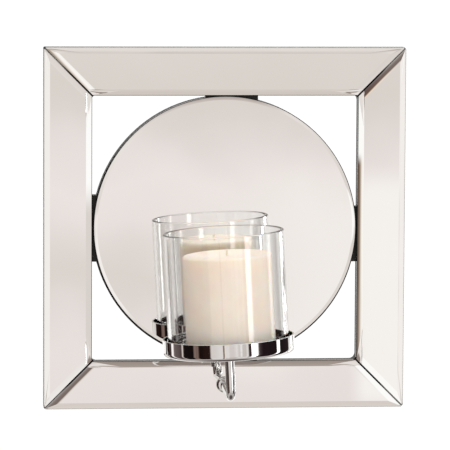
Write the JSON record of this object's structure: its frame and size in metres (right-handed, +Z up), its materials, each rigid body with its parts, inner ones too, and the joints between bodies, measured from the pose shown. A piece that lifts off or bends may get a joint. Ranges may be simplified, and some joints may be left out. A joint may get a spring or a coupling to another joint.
{
  "type": "wall sconce candle holder",
  "caption": "Square bevelled-mirror wall sconce with a round mirror, open corners, and a chrome arm and cup holding a glass cylinder and pillar candle.",
  "frame": {"origin": "centre of the board's back face, on the wall plane", "axes": "+X to the right for a person facing the sconce, +Y into the wall, +Z up"},
  "size_m": [0.305, 0.1353, 0.305],
  "materials": {
    "black_paint": "fibreboard painted satin black",
    "mirror": "silvered glass with polished bevels",
    "tape": "white foam mounting tape",
    "zinc_steel": "zinc plated",
    "chrome": "polished chrome plate",
    "clear_plastic": "clear",
    "clear_rubber": "clear soft pads",
    "clear_glass": "clear, fire polished rim",
    "wax": "cream wax, satin",
    "wick": "braided cotton"
  },
  "bodies": {
    "frame": {"back_board": "black_paint", "mirror_strip_top": "mirror", "mirror_strip_bottom": "mirror", "mirror_strip_left": "mirror", "mirror_strip_right": "mirror", "mirror_disc": "mirror", "tape_strips": "tape", "tape_disc": "tape", "hanger_left": "zinc_steel", "hanger_right": "zinc_steel", "hanger_screws": "zinc_steel", "rosette_washer": "clear_plastic"},
    "arm": {"arm_rod": "chrome", "arm_rosette": "chrome", "arm_washer": "zinc_steel", "arm_spring_washer": "zinc_steel", "arm_nut": "zinc_steel", "cup_plate": "chrome", "cup": "chrome", "cup_screw": "zinc_steel", "cup_pads": "clear_rubber"},
    "glass": {"glass_cylinder": "clear_glass"},
    "candle": {"candle_wax": "wax", "candle_wick": "wick"}
  },
  "joints": [
    {"name": "arm_swivel", "type": "hinge", "parent": "frame", "child": "arm", "pos_m": [0, -0.0308, -0.13225], "axis": [0, 1, 0], "range_deg": [-11.9, 18.1]},
    {"name": "glass_lift", "type": "slide", "parent": "arm", "child": "glass", "axis": [-0.0541, 0, 0.9985], "range_m": [0, 0.12]},
    {"name": "candle_lift", "type": "slide", "parent": "glass", "child": "candle", "axis": [-0.0541, 0, 0.9985], "range_m": [0, 0.12]}
  ]
}
